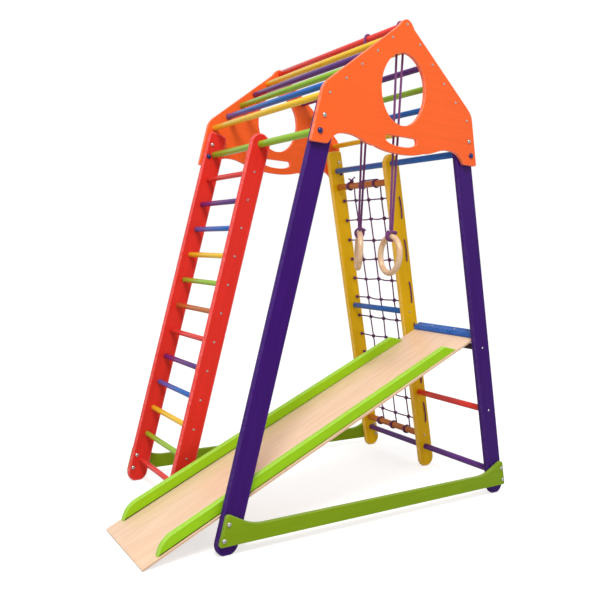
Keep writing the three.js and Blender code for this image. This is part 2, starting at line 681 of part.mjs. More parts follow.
function hitchGeometry() {
  const shoulder = Math.acos(HITCH.topRadius / HITCH.radius);
  const profile = [new THREE.Vector2(0, -HITCH.below)];
  for (let i = 1; i <= 7; i++) {
    const angle = -Math.PI / 2 + ((Math.PI / 2 + shoulder) * i) / 7;
    const height = angle < 0 ? HITCH.below : HITCH.above / Math.sin(shoulder);
    profile.push(new THREE.Vector2(HITCH.radius * Math.cos(angle), height * Math.sin(angle)));
  }
  profile.push(new THREE.Vector2(0, HITCH.above));
  const lump = new THREE.LatheGeometry(profile, 14);
  lump.rotateX(Math.PI / 2);
  return cut(lump, [toSolid(ringGeometry(CLEARANCE))]);
}

for (const { number, y, wireTopZ, turn } of RINGS) {
  const ropeBottomZ = wireTopZ + HITCH.above + CLEARANCE;
  piece(frame, `ring_${number}_rope`, ringRopeGeometry(ropeBottomZ), rope(COLOUR.ringRope), [0, y, 0]);
  const hanging = new THREE.Group();
  hanging.position.set(0, y, wireTopZ);
  hanging.rotation.z = turn;
  frame.add(hanging);
  piece(hanging, `ring_${number}_hitch`, hitchGeometry(), rope(COLOUR.ringRope));
  piece(hanging, `ring_${number}`, ringGeometry(0), bareWood(COLOUR.beech));
}

// ---- The origin, on the floor under the middle of the whole object --------------------------

const group = new THREE.Group();
group.add(frame);
const reach = new THREE.Box3().setFromObject(frame, true);
frame.position.set(-(reach.min.x + reach.max.x) / 2, -(reach.min.y + reach.max.y) / 2, 0);

export default group;
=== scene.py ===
import json
import math
import random

import bpy
from mathutils import Matrix, Vector

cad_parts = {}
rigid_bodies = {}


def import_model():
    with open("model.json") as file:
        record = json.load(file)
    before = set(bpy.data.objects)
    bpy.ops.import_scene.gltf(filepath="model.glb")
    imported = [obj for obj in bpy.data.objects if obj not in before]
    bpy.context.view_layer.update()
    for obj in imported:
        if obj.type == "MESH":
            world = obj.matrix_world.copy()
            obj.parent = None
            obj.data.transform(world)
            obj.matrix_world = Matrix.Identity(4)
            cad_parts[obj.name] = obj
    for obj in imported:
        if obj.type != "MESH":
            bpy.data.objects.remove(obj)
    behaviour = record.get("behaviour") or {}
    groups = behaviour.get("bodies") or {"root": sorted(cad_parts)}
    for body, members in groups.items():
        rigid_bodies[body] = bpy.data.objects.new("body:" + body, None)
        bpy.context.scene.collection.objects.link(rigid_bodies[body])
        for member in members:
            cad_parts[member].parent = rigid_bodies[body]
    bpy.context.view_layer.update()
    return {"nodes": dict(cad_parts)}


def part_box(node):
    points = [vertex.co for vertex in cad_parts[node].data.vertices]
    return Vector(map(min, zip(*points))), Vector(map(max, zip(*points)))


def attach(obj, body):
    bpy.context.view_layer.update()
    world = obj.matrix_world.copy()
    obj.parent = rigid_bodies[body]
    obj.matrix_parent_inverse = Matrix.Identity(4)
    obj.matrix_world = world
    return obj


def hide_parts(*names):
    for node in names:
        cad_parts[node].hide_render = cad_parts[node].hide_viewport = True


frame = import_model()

# ---- Camera -----------------------------------------------------------------------------------
# It stands ahead of the front gable and to the left, a little above the height of the slide's
# top, and is turned slightly clockwise. Places below are in millimetres from the front gable's
# outer face and the middle of the frame, and become metres here.

gable_low, gable_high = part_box("gable_front")
MIDDLE_X = (gable_low.x + gable_high.x) / 2
FRONT_Y = gable_low.y
MM = 0.001


def spot(x, y, z):
    return Vector((MIDDLE_X + x * MM, FRONT_Y + y * MM, z * MM))


def add_camera(place, yaw, pitch, roll, lens):
    yaw, pitch, roll = (math.radians(angle) for angle in (yaw, pitch, roll))
    ahead = Vector((math.sin(yaw) * math.cos(pitch), math.cos(yaw) * math.cos(pitch), math.sin(pitch)))
    level = Vector((math.cos(yaw), -math.sin(yaw), 0))
    upright = level.cross(ahead)
    right = math.cos(roll) * level + math.sin(roll) * upright
    up = -math.sin(roll) * level + math.cos(roll) * upright
    camera = bpy.data.objects.new("camera", bpy.data.cameras.new("camera"))
    camera.data.lens = lens
    turn = Matrix((right, up, -ahead)).transposed()
    camera.matrix_world = Matrix.Translation(place) @ turn.to_4x4()
    bpy.context.scene.collection.objects.link(camera)
    bpy.context.scene.camera = camera


add_camera(spot(-1527.4, -1719.7, 897.4), yaw=33.651, pitch=-3.549, roll=2.313, lens=40.35)

# ---- Ring ropes -------------------------------------------------------------------------------
# Braided polypropylene rope, 8 mm thick. Each ring hangs in one rope that is doubled over the
# ridge bar, so its two strands lie side by side at the hitch and spread to the bar's sides.


def linear(red, green, blue):
    """A colour given as 0 to 255 for a screen, as the shaders take it."""
    shares = [value / 255 for value in (red, green, blue)]
    return [s / 12.92 if s <= 0.04045 else ((s + 0.055) / 1.055) ** 2.4 for s in shares] + [1.0]


def node(tree, kind, settings=None, **inputs):
    """A shader node with its settings, and its inputs by name or, as in0, by number."""
    made = tree.nodes.new("ShaderNode" + kind)
    for key, value in (settings or {}).items():
        setattr(made, key, value)
    for key, value in inputs.items():
        number = key[2:]
        socket = made.inputs[int(number) if key.startswith("in") and number.isdigit() else key]
        if isinstance(value, bpy.types.NodeSocket):
            tree.links.new(value, socket)
        else:
            socket.default_value = value
    return made


def maths(tree, operation, first, second=0.0, third=0.0):
    made = node(tree, "Math", {"operation": operation}, in0=first, in1=second, in2=third)
    return made.outputs[0]


def effect_group(name, inputs, build):
    """A node group that gives a surface its colour, roughness and height."""
    group = bpy.data.node_groups.new(name, "ShaderNodeTree")
    for socket, value in inputs.items():
        kind = "NodeSocketColor" if isinstance(value, (list, tuple)) else "NodeSocketFloat"
        group.interface.new_socket(socket, in_out="INPUT", socket_type=kind).default_value = value
    group.interface.new_socket("Colour", in_out="OUTPUT", socket_type="NodeSocketColor")
    group.interface.new_socket("Roughness", in_out="OUTPUT", socket_type="NodeSocketFloat")
    group.interface.new_socket("Height", in_out="OUTPUT", socket_type="NodeSocketFloat")
    start = group.nodes.new("NodeGroupInput")
    end = group.nodes.new("NodeGroupOutput")
    for socket, value in build(group, start.outputs).items():
        group.links.new(value, end.inputs[socket])
    return group


def finish(name, group, effect, bump, depth, **shader):
    """A material whose colour, roughness and relief come from one effect group."""
    material = bpy.data.materials.new(name)
    material.use_nodes = True
    tree = material.node_tree
    principled = tree.nodes["Principled BSDF"]
    made = node(tree, "Group", {"node_tree": group}, **effect)
    relief = node(tree, "Bump", Strength=bump, Distance=depth, Height=made.outputs["Height"])
    tree.links.new(made.outputs["Colour"], principled.inputs["Base Color"])
    tree.links.new(made.outputs["Roughness"], principled.inputs["Roughness"])
    tree.links.new(relief.outputs["Normal"], principled.inputs["Normal"])
    for socket, value in shader.items():
        principled.inputs[socket.replace("_", " ")].default_value = value
    return material


def braid(tree, given):
    """Strands that cross over and under, round a rope whose first UV is metres along it."""
    place = node(tree, "TexCoord").outputs["UV"]
    axes = node(tree, "SeparateXYZ", Vector=place).outputs
    along = maths(tree, "DIVIDE", axes[0], given["Stitch"])
    round_it = maths(tree, "MULTIPLY", axes[1], given["Strands"])

    def wave(turned):
        return maths(tree, "SINE", maths(tree, "MULTIPLY", turned, math.pi))

    one_way = wave(maths(tree, "ADD", along, round_it))
    other_way = wave(maths(tree, "SUBTRACT", along, round_it))
    lump = maths(tree, "ABSOLUTE", maths(tree, "MULTIPLY", one_way, other_way))
    height = maths(tree, "POWER", lump, 0.55)
    body = node(tree, "TexCoord").outputs["Object"]
    fuzz = node(tree, "TexNoise", Vector=body, Scale=1800.0, Detail=3.0).outputs[0]
    soiling = node(tree, "TexNoise", Vector=body, Scale=35.0, Detail=4.0).outputs[0]
    fibre = maths(tree, "ADD", height, maths(tree, "MULTIPLY", fuzz, 0.25))
    # Painted shade: the colour darkens where the strands dip between each other, down to 0.42 of it in the
    # deepest dips.
    value = maths(tree, "MULTIPLY_ADD", fibre, 0.62, 0.42)
    value = maths(tree, "MULTIPLY", value, maths(tree, "MULTIPLY_ADD", soiling, 0.3, 0.85))
    colour = node(tree, "HueSaturation", Value=value, Color=given["Colour"]).outputs[0]
    roughness = maths(tree, "MULTIPLY_ADD", fuzz, 0.2, 0.62)
    return {"Colour": colour, "Roughness": roughness, "Height": fibre}


BRAID = effect_group("braid", {"Colour": (0.2, 0.1, 0.2, 1.0), "Stitch": 0.006, "Strands": 8.0}, braid)
ring_rope_finish = finish(
    "ring_rope",
    BRAID,
    {"Colour": linear(126, 52, 124), "Stitch": 0.0065, "Strands": 8.0},
    bump=0.7,
    depth=0.0008,
    Sheen_Weight=0.25,
    Sheen_Roughness=0.5,
)


def smooth_line(points, step):
    """A line of about even steps that runs smoothly through the points."""
    line = [points[0]]
    for i in range(len(points) - 1):
        before, start = points[max(i - 1, 0)], points[i]
        end, after = points[i + 1], points[min(i + 2, len(points) - 1)]
        count = max(1, round((end - start).length / step))
        for k in range(1, count + 1):
            t = k / count
            bend = (2 * before - 5 * start + 4 * end - after) * t * t
            twist = (3 * start - before - 3 * end + after) * t**3
            line.append((2 * start + (end - before) * t + bend + twist) / 2)
    return line


def tube_rings(line, radius, sides):
    """Rings of points round a line, closed in to rounded tips, with metres along for each."""
    rings, along = [], []
    ahead = (line[1] - line[0]).normalized()
    side = ahead.orthogonal().normalized()
    far = 0.0
    last = len(line) - 1
    for i, centre in enumerate(line):
        if i:
            far += (centre - line[i - 1]).length
        ahead = (line[min(i + 1, last)] - line[max(i - 1, 0)]).normalized()
        side = (side - ahead * side.dot(ahead)).normalized()
        other = ahead.cross(side)
        tips = {0: ((-0.45, 0.55), (-0.2, 0.88), (0.0, 1.0)), last: ((0.0, 1.0), (0.2, 0.88), (0.45, 0.55))}
        for push, share in tips.get(i, ((0.0, 1.0),)):
            turns = [2 * math.pi * k / sides for k in range(sides)]
            spokes = [side * math.cos(a) + other * math.sin(a) for a in turns]
            middle = centre + ahead * push * radius
            rings.append([middle + radius * share * spoke for spoke in spokes])
            along.append(far + push * radius)
    return rings, along


def tubes(name, lines, radius, sides=12):
    """One mesh of round ropes that follow the lines."""
    points, faces, marks = [], [], []
    for line in lines:
        rings, along = tube_rings(line, radius, sides)
        first = len(points)
        points += [point for ring in rings for point in ring]
        for i in range(len(rings) - 1):
            for k in range(sides):
                a, b = first + i * sides, first + (i + 1) * sides
                faces.append((a + k, a + (k + 1) % sides, b + (k + 1) % sides, b + k))
                here, there = k / sides, (k + 1) / sides
                marks += [(along[i], here), (along[i], there), (along[i + 1], there), (along[i + 1], here)]
        faces.append(tuple(reversed(range(first, first + sides))))
        faces.append(tuple(range(len(points) - sides, len(points))))
        marks += [(0.0, 0.0)] * sides + [(along[-1], 0.0)] * sides
    mesh = bpy.data.meshes.new(name)
    mesh.from_pydata(points, [], faces)
    layer = mesh.uv_layers.new(name="UVMap")
    layer.uv.foreach_set("vector", [value for mark in marks for value in mark])
    mesh.shade_smooth()
    return mesh


def piece(name, mesh, material, body, instead_of=()):
    """A finished piece that rides on a body, and may stand for CAD nodes."""
    made = bpy.data.objects.new(name, mesh)
    bpy.context.scene.collection.objects.link(made)
    made.data.materials.append(material)
    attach(made, body)
    if instead_of:
        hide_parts(*instead_of)
    return made


RING_ROPE = 8 * MM
STRAND_SPREAD = 4.5 * MM  # each strand's centre from the middle, where it leaves the hitch

ridge_low, ridge_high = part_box("ridge_bar")
RIDGE_Z = (ridge_low.z + ridge_high.z) / 2
ROPE_BEND = (ridge_high.z - ridge_low.z) / 2 + 0.3 * MM + RING_ROPE / 2


def ring_rope_route(y, bottom):
    """Up the left strand, over the ridge bar and down the right one."""
    strand = []
    for i in range(11):
        out = STRAND_SPREAD + (ROPE_BEND - STRAND_SPREAD) * i / 10
        strand.append(Vector((out, 0, bottom + (RIDGE_Z - bottom) * i / 10)))
    over = [math.pi * i / 8 for i in range(1, 8)]
    crown = [Vector((-ROPE_BEND * math.cos(a), 0, RIDGE_Z + ROPE_BEND * math.sin(a))) for a in over]
    left = [Vector((-point.x, 0, point.z)) for point in strand]
    return [Vector((MIDDLE_X, y, 0)) + point for point in left + crown + strand[::-1]]


ring_rope_ends = {}
for number in (1, 2):
    low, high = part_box(f"ring_{number}_rope")
    route = ring_rope_route((low.y + high.y) / 2, low.z)
    path = smooth_line(route, 6 * MM)
    mesh = tubes(f"ring_{number}_doubled_rope", [path], RING_ROPE / 2, 16)
    doubled = piece(
        f"ring_{number}_doubled_rope",
        mesh,
        ring_rope_finish,
        f"ring_{number}_line",
        [f"ring_{number}_rope"],
    )
    ring_rope_ends[number] = (route[0], route[-1])

# ---- Hitches ----------------------------------------------------------------------------------
# Each rope's two strands are hitched on the ring: both go round the wood side by side and the
# rope crosses over them in front. A short end is tucked out at the side.

HITCH_ROUTE = [  # along the ring, across it and up, in millimetres
    (-5.0, -10.5, 12.5),
    (-5.2, -14.8, 2.0),
    (-5.2, -11.5, -9.0),
    (-5.2, 0.0, -14.6),
    (-5.2, 11.5, -9.0),
    (-6.0, 14.8, 2.0),
    (-9.5, 11.0, 11.5),
    (-13.5, 0.0, 15.5),
    (-11.0, -13.5, 14.5),
    (0.0, -19.0, 12.0),
    (11.0, -13.5, 14.5),
    (13.5, 0.0, 15.5),
    (9.5, 11.0, 11.5),
    (6.0, 14.8, 2.0),
    (5.2, 11.5, -9.0),
    (5.2, 0.0, -14.6),
    (5.2, -11.5, -9.0),
    (5.2, -14.8, 2.0),
    (5.0, -10.5, 12.5),
]
HITCH_TAIL = [(7.0, 6.0, 15.0), (14.0, 4.0, 18.0), (21.0, -2.0, 14.0), (25.0, -6.0, 4.0)]
ROPE_RING_TURN = {1: math.radians(57), 2: math.radians(80)}  # each ring's own turn on its rope


def ring_place(number):
    """The hitch's frame, in the middle of the wood at the ring's top."""
    low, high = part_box(f"ring_{number}")
    wood = RING_WOOD / 2
    centre = Vector(((low.x + high.x) / 2, (low.y + high.y) / 2, high.z - wood))
    return Matrix.Translation(centre) @ Matrix.Rotation(ROPE_RING_TURN[number], 4, "Z")


RING_WOOD = 20 * MM
for number in (1, 2):
    place = ring_place(number)
    ends = [place.inverted() @ end for end in ring_rope_ends[number]]
    turns = [Vector(point) * MM for point in HITCH_ROUTE]
    knot = [ends[0], *turns, ends[1]]
    tail = [Vector(point) * MM for point in HITCH_TAIL]
    lines = [smooth_line(knot, 2 * MM), smooth_line(tail, 2 * MM)]
    mesh = tubes(f"ring_{number}_cow_hitch", lines, RING_ROPE / 2, 14)
    hitch = piece(
        f"ring_{number}_cow_hitch",
        mesh,
        ring_rope_finish,
        f"ring_{number}_grip",
        [f"ring_{number}_hitch"],
    )
    hitch.matrix_world = place

# ---- Rings ------------------------------------------------------------------------------------
# Turned beech, 145 mm across, sanded and lacquered. The grain runs straight across each ring, so
# it shows as long lines at the top and bottom and as end grain at the sides.

PLY = 1.6 * MM  # one layer of the plywood; the beech has none


def timber(tree, given):
    """Bare wood with its grain along the piece's own X: figure, fibres and short dark flecks."""
    place = node(tree, "TexCoord").outputs["Object"]

    def stretched(along, across):
        scale = (along, across, across)
        return node(tree, "VectorMath", {"operation": "MULTIPLY"}, in0=place, in1=scale).outputs[0]

    figure = node(tree, "TexNoise", Vector=stretched(2.2, 26.0), Scale=1.0, Detail=5.0, Distortion=0.7)
    fibre = node(tree, "TexNoise", Vector=stretched(22.0, 700.0), Scale=1.0, Detail=3.0).outputs[0]
    fleck = node(tree, "TexNoise", Vector=stretched(90.0, 1100.0), Scale=1.0, Detail=1.0).outputs[0]
    soft = {"interpolation_type": "SMOOTHSTEP"}
    dark_fleck = node(tree, "MapRange", soft, Value=fleck, in1=0.62, in2=0.74).outputs[0]
    bands = maths(tree, "SINE", maths(tree, "MULTIPLY", figure.outputs[0], given["Rings"]))
    tone = maths(tree, "MULTIPLY_ADD", bands, 0.22, 0.45)
    tone = maths(tree, "ADD", tone, maths(tree, "MULTIPLY_ADD", fibre, 0.7, -0.35))
    tone = maths(tree, "ADD", tone, maths(tree, "MULTIPLY", dark_fleck, given["Flecks"]))
    # Every other 1.6 mm layer through the thickness is toned darker by Ply and dimmed by 0.6 times Ply,
    # which draws dark lines along the board's edges.
    height_axis = node(tree, "SeparateXYZ", Vector=place).outputs[2]
    ply = maths(tree, "MODULO", maths(tree, "SUBTRACT", height_axis, 0.0002), 2 * PLY)
    dark_ply = maths(tree, "MULTIPLY", maths(tree, "GREATER_THAN", ply, PLY), given["Ply"])
    tone = node(tree, "Clamp", Value=maths(tree, "ADD", tone, dark_ply)).outputs[0]
    mixed = node(tree, "Mix", {"data_type": "RGBA"}, Factor=tone, in6=given["Light"], in7=given["Dark"])
    edge_shade = maths(tree, "MULTIPLY_ADD", dark_ply, -0.6, 1.0)
    colour = node(tree, "HueSaturation", Value=edge_shade, Color=mixed.outputs[2]).outputs[0]
    roughness = maths(tree, "MULTIPLY_ADD", fibre, 0.2, 0.3)
    height = maths(tree, "SUBTRACT", fibre, maths(tree, "MULTIPLY", dark_fleck, 0.5))
    return {"Colour": colour, "Roughness": roughness, "Height": height}


TIMBER = effect_group(
    "timber",
    {"Light": (0.8, 0.6, 0.4, 1.0), "Dark": (0.6, 0.4, 0.2, 1.0), "Rings": 22.0, "Flecks": 0.3, "Ply": 0.0},
    timber,
)
beech_finish = finish(
    "lacquered_beech",
    TIMBER,
    {"Light": linear(238, 204, 166), "Dark": linear(208, 162, 118), "Rings": 26.0, "Flecks": 0.45},
    bump=0.15,
    depth=0.0004,
    Coat_Weight=0.35,
    Coat_Roughness=0.22,
)


def torus(name, circle, thickness, steps=72, sides=28):
    """A round ring that stands in its own X and Z, with its top at the origin."""
    points, faces = [], []
    for i in range(steps):
        a = 2 * math.pi * i / steps
        for k in range(sides):
            b = 2 * math.pi * k / sides
            far = circle + thickness * math.cos(b)
            points.append((far * math.sin(a), thickness * math.sin(b), far * math.cos(a) - circle))
    for i in range(steps):
        for k in range(sides):
            here, there = i * sides, (i + 1) % steps * sides
            faces.append((here + k, here + (k + 1) % sides, there + (k + 1) % sides, there + k))
    mesh = bpy.data.meshes.new(name)
    mesh.from_pydata(points, [], faces)
    mesh.shade_smooth()
    return mesh


RING_ACROSS = 145 * MM
for number in (1, 2):
    mesh = torus(f"ring_{number}_wood", (RING_ACROSS - RING_WOOD) / 2, RING_WOOD / 2)
    name = f"ring_{number}"
    wood = piece(f"{name}_wood", mesh, beech_finish, f"{name}_grip", [name])
    wood.matrix_world = ring_place(number)

# ---- Gables -----------------------------------------------------------------------------------
# Plywood boards in the outline of a house, with a round window over a slot and a scalloped lower
# edge. They are routed out, eased all round and painted in glossy orange enamel.


def enamel(tree, given):
    """Glossy paint over wood: the grain shows through a little, every rim gets a painted highlight, and
    rims are worn paler in patches, partly worn paint and partly painted highlight.
    """
    place = node(tree, "TexCoord").outputs["Object"]
    finer_across = (4.0, 85.0, 85.0)
    along = node(tree, "VectorMath", {"operation": "MULTIPLY"}, in0=place, in1=finer_across).outputs[0]
    streak = node(tree, "TexNoise", Vector=along, Scale=1.0, Detail=5.0).outputs[0]
    cloud = node(tree, "TexNoise", Vector=place, Scale=9.0, Detail=4.0).outputs[0]
    peel = node(tree, "TexNoise", Vector=place, Scale=420.0, Detail=2.0).outputs[0]
    scuff = node(tree, "TexNoise", Vector=place, Scale=70.0, Detail=6.0, Roughness=0.7).outputs[0]
    rim = node(tree, "Attribute", {"attribute_name": "rim"}).outputs["Fac"]
    rim_wear_and_highlight = maths(tree, "MULTIPLY", rim, node(tree, "MapRange", Value=scuff, in1=0.3, in2=0.9).outputs[0])
    plain = maths(tree, "MULTIPLY_ADD", given["Grain"], -0.5, 0.95)
    value = maths(tree, "MULTIPLY_ADD", streak, given["Grain"], plain)
    value = maths(tree, "ADD", value, maths(tree, "MULTIPLY_ADD", cloud, 0.1, -0.03))
    # Worn patches on the rims are lighter and less saturated: partly worn paint, partly painted highlight.
    value = maths(tree, "ADD", value, maths(tree, "MULTIPLY", rim_wear_and_highlight, given["Wear"]))
    saturation = maths(tree, "MULTIPLY_ADD", rim_wear_and_highlight, -0.25, 1.0)
    # Painted highlight: every eased rim is made 0.1 lighter all along its length.
    value = maths(tree, "MULTIPLY_ADD", rim, 0.1, value)
    shifted = node(tree, "HueSaturation", Value=value, Saturation=saturation, Color=given["Colour"])
    roughness = maths(tree, "MULTIPLY_ADD", cloud, 0.22, 0.2)
    roughness = maths(tree, "ADD", roughness, maths(tree, "MULTIPLY", rim_wear_and_highlight, 0.25))
    height = maths(tree, "ADD", streak, maths(tree, "MULTIPLY", peel, 0.35))
    return {"Colour": shifted.outputs[0], "Roughness": roughness, "Height": height}


ENAMEL = effect_group("enamel", {"Colour": (0.8, 0.2, 0.1, 1.0), "Wear": 0.15, "Grain": 0.22}, enamel)


def paint(name, colour, grain=0.22, coat=0.05):
    effect = {"Colour": linear(*colour), "Wear": 0.12, "Grain": grain}
    gloss = {"Specular_IOR_Level": 0.12, "Coat_Weight": coat, "Coat_Roughness": 0.14}
    return finish(f"{name}_enamel", ENAMEL, effect, bump=0.16, depth=0.0005, **gloss)


def cubic(start, first_pull, second_pull, end, steps=14):
    """Points along a curve from start to end, without the start."""
    points = []
    for i in range(1, steps + 1):
        t = i / steps
        u = 1 - t
        points.append(
            tuple(
                u**3 * a + 3 * u * u * t * b + 3 * u * t * t * c + t**3 * d
                for a, b, c, d in zip(start, first_pull, second_pull, end)
            )
        )
    return points


def bend(start, corner, end, steps=8):
    """Points round a corner from start to end, without the start."""
    first = [a + (c - a) * 2 / 3 for a, c in zip(start, corner)]
    second = [b + (c - b) * 2 / 3 for b, c in zip(end, corner)]
    return cubic(start, first, second, end, steps)


def arc(x, z, radius, start, end, steps):
    angles = [start + (end - start) * i / steps for i in range(steps + 1)]
    return [(x + radius * math.cos(a), z + radius * math.sin(a)) for a in angles]


def mirrored(half):
    """A symmetric outline from its right half, from the bottom middle to the top middle."""
    return half + [(-x, z) for x, z in reversed(half) if x > 0.01]


def board(name, outlines, thickness, easing):
    """A board from its outline and holes in X and Z, in millimetres, eased all round. It lies
    between Y = 0 and its thickness, and its eased edges are marked as rims."""
    curve = bpy.data.curves.new(name, "CURVE")
    curve.dimensions = "2D"
    curve.fill_mode = "BOTH"
    curve.extrude = (thickness / 2 - easing) * MM
    curve.bevel_depth = easing * MM
    curve.bevel_resolution = 3
    curve.offset = -easing * MM
    for outline in outlines:
        spline = curve.splines.new("POLY")
        spline.points.add(len(outline) - 1)
        for point, (x, z) in zip(spline.points, outline):
            point.co = (x * MM, z * MM, 0, 1)
        spline.use_cyclic_u = True
    holder = bpy.data.objects.new(name, curve)
    mesh = bpy.data.meshes.new_from_object(holder)
    bpy.data.objects.remove(holder)
    bpy.data.curves.remove(curve)
    mesh.name = name
    mesh.transform(Matrix.Translation((0, thickness / 2 * MM, 0)) @ Matrix.Rotation(math.pi / 2, 4, "X"))
    rim = mesh.attributes.new("rim", "FLOAT", "FACE")
    rim.data.foreach_set("value", [0.0 if abs(face.normal.y) > 0.99 else 1.0 for face in mesh.polygons])
    mesh.polygons.foreach_set("use_smooth", [abs(face.normal.y) < 0.99 for face in mesh.polygons])
    mesh.set_sharp_from_angle(angle=math.radians(38))
    return mesh


def stand(made, place, grain=(1, 0, 0)):
    """Puts a board at its place, with its own X turned to run along the wood."""
    turn = Vector(grain).to_track_quat("X", "Z").to_matrix().to_4x4()
    made.data.transform(turn.inverted())
    made.matrix_world = Matrix.Translation(place) @ turn


RIGHT_RAILS = ("net_side_bottom_bar", "net_side_top_bar")
(lower_x, lower_z), (upper_x, upper_z) = (
    ((low.x + high.x) / 2 / MM, (low.z + high.z) / 2 / MM) for low, high in map(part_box, RIGHT_RAILS)
)
LEAN = math.atan((lower_x - upper_x) / (upper_z - lower_z))  # of every post and rail


def post_x(z):
    """A right-hand post's centre line at a height, from the middle of the frame."""
    return lower_x - MIDDLE_X / MM - (z - lower_z) * math.tan(LEAN)


TOP = gable_high.z / MM
GABLE_THICKNESS = (gable_high.y - gable_low.y) / MM
SHOULDER = (post_x(TOP - 263) + 47.9, TOP - 263)
LOWER_CORNER = (post_x(TOP - 443) + 46.2, TOP - 443)
TAB_WIDTH = 64
CUSP = (122, TOP - 427)
HOLLOW_TOP = TOP - 403
WINDOW = {"across": 96.8, "up": 118.8, "z": TOP - 228.5}
SLOT = {"half": 71, "top": TOP - 383, "middle": TOP - 417, "end": TOP - 400, "round": 9}


def gable_outline():
    roof = (TOP - SHOULDER[1]) / SHOULDER[0]
    side = (LOWER_CORNER[0] - SHOULDER[0]) / (SHOULDER[1] - LOWER_CORNER[1])
    base = LOWER_CORNER[1] + 1
    tab = (LOWER_CORNER[0] - TAB_WIDTH, LOWER_CORNER[1])
    hollow_x = (tab[0] + CUSP[0]) / 2 + 12
    half = [(0, base)]
    half += cubic(half[-1], (40, base), (CUSP[0] - 40, base + 4), (CUSP[0] - 8, CUSP[1] + 1), 20)
    half.append(CUSP)
    half += cubic(CUSP, (CUSP[0] + 32, CUSP[1] + 5), (hollow_x - 42, HOLLOW_TOP), (hollow_x, HOLLOW_TOP))
    half += cubic(half[-1], (hollow_x + 42, HOLLOW_TOP), (tab[0] - 22, tab[1] + 30), tab)
    half.append((LOWER_CORNER[0] - 9, LOWER_CORNER[1]))
    half += bend(half[-1], LOWER_CORNER, (LOWER_CORNER[0] - 9 * side, LOWER_CORNER[1] + 9))
    half.append((SHOULDER[0] + 22 * side, SHOULDER[1] - 22))
    half += bend(half[-1], SHOULDER, (SHOULDER[0] - 22, SHOULDER[1] + 22 * roof))
    half.append((34, TOP - 34 * roof))
    half += bend(half[-1], (17, TOP), (0, TOP))
    return mirrored(half)


def slot_outline():
    half, top, middle, end = (SLOT[key] for key in ("half", "top", "middle", "end"))
    right = [(0, middle)]
    right += bend((0, middle), (half * 0.75, middle), (half, end), 12)
    right += bend((half, end), (half, top), (half - SLOT["round"], top), 8)
    right.append((0, top))
    return mirrored(right)


def window_outline(steps=96):
    turns = [2 * math.pi * i / steps for i in range(steps)]
    return [(WINDOW["across"] * math.cos(a), WINDOW["z"] + WINDOW["up"] * math.sin(a)) for a in turns]


orange = paint("orange", (252, 102, 40))
for name, end in (("front_gable_board", "gable_front"), ("back_gable_board", "gable_back")):
    outlines = [gable_outline(), window_outline(), slot_outline()]
    mesh = board(name, outlines, GABLE_THICKNESS, 1.6)
    gable = piece(name, mesh, orange, "frame", [end])
    stand(gable, (MIDDLE_X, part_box(end)[0].y, 0))

# ---- Round bars -------------------------------------------------------------------------------
# Turned beech dowels, painted and with their ends eased: eleven in the roof, the ladder's rungs
# and the long bars that tie the frame from front to back. All of them lie along Y.

PAINTS = {
    "red": (236, 58, 50),
    "yellow": (255, 206, 40),
    "green": (152, 198, 46),
    "blue": (0, 100, 192),
    "purple": (92, 38, 130),
    # Very dark red-brown for the two bars under the slide, as dark as they look in its shade: painted shade
    # as well as their paint.
    "maroon": (52, 18, 30),
    "amber": (198, 112, 46),
}
paints = {name: paint(name, colour, coat=0.75) for name, colour in PAINTS.items()}
BOARD_PAINTS = {"red": (228, 48, 37), "yellow": (240, 186, 0), "blue": (0, 84, 172)}
board_paints = {name: paint(f"{name}_board", colour, grain=0.3) for name, colour in BOARD_PAINTS.items()}


def revolved(name, profile, sides, mouth=None):
    """A solid turned about Z from (radius, height) pairs. The first and the last pair lie on the
    axis. mouth(angle) shapes the pairs that have a third value, such as a screw's recess."""
    points, faces = [], []
    for radius, height, *shaped in profile[1:-1]:
        for k in range(sides):
            a = 2 * math.pi * k / sides
            far = radius * (mouth(a) if shaped else 1)
            points.append((far * math.cos(a), far * math.sin(a), height))
    rings = len(profile) - 2
    for i in range(rings - 1):
        for k in range(sides):
            here, there = i * sides, (i + 1) * sides
            faces.append((here + k, here + (k + 1) % sides, there + (k + 1) % sides, there + k))
    points += [(0, 0, profile[0][1]), (0, 0, profile[-1][1])]
    foot, head = len(points) - 2, len(points) - 1
    last = (rings - 1) * sides
    faces += [(foot, (k + 1) % sides, k) for k in range(sides)]
    faces += [(head, last + k, last + (k + 1) % sides) for k in range(sides)]
    mesh = bpy.data.meshes.new(name)
    mesh.from_pydata([Vector(point) * MM for point in points], [], faces)
    mesh.polygons.foreach_set("use_smooth", [abs(face.normal.z) < 0.999 for face in mesh.polygons])
    mesh.set_sharp_from_angle(angle=math.radians(40))
    return mesh


def bar(node_name, colour):
    """A painted dowel in the place of a CAD bar, with its own X along it."""
    low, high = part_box(node_name)
    radius = (high.x - low.x) / 2 / MM
    length = (high.y - low.y) / MM
    ease = 1.5
    profile = [(0, 0), (radius - ease, 0), (radius - ease * 0.3, ease * 0.3), (radius, ease)]
    profile += [(r, length - z) for r, z in reversed(profile)]
    mesh = revolved(f"{node_name}_dowel", profile, 40)
    mesh.transform(Matrix.Rotation(math.pi / 2, 4, "Y"))
    made = piece(f"{node_name}_dowel", mesh, paints[colour], "frame", [node_name])
    place = Matrix.Translation(((low.x + high.x) / 2, low.y, (low.z + high.z) / 2))
    own_turn = Matrix.Rotation(0.7 * len(bpy.data.objects), 4, "X")  # so that no two show the same grain
    made.matrix_world = place @ Matrix.Rotation(math.pi / 2, 4, "Z") @ own_turn
    return made


